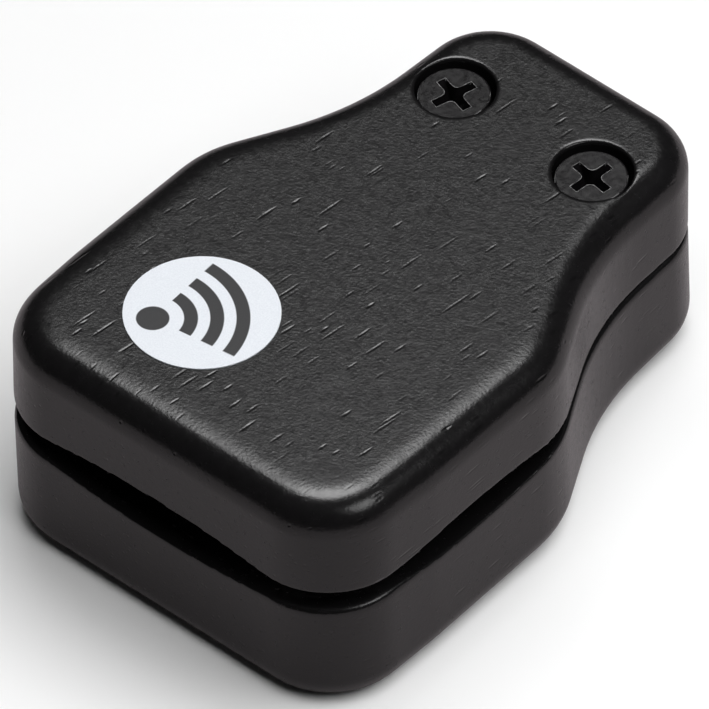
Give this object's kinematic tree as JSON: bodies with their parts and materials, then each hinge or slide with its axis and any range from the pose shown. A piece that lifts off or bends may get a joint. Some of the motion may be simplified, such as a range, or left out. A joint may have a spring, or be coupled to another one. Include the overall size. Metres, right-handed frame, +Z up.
{
  "type": "hand castanets",
  "caption": "Sprung hand castanets: bell-outlined dark wooden halves with dished inner faces, screwed at the neck and held ajar by springs.",
  "frame": {"origin": "on the resting surface, under the middle of the lower half", "axes": "+X across the width, +Y along the length towards the screwed neck, +Z up"},
  "size_m": [0.0516, 0.0733, 0.0296],
  "materials": {
    "stained_wood": "satin lacquer",
    "black_screw": "black oxide",
    "washer_steel": "blackened",
    "insert_brass": "plain",
    "spring_steel": "bright",
    "badge_foil": "satin foil"
  },
  "bodies": {
    "lower_half": {"lower_shell": "stained_wood", "screw_left": "black_screw", "screw_right": "black_screw", "washer_left": "washer_steel", "washer_right": "washer_steel", "insert_left": "insert_brass", "insert_right": "insert_brass", "spring_left": "spring_steel", "spring_right": "spring_steel"},
    "upper_half": {"upper_shell": "stained_wood", "badge": "badge_foil"}
  },
  "joints": [
    {"name": "clap", "type": "hinge", "parent": "lower_half", "child": "upper_half", "pos_m": [0, 0.0355, 0.0151], "axis": [1, 0, 0], "range_deg": [0, 2], "stiffness_Nm_per_rad": 1.28, "springref_deg": -5.73, "deforming": ["spring_left", "spring_right"]}
  ]
}
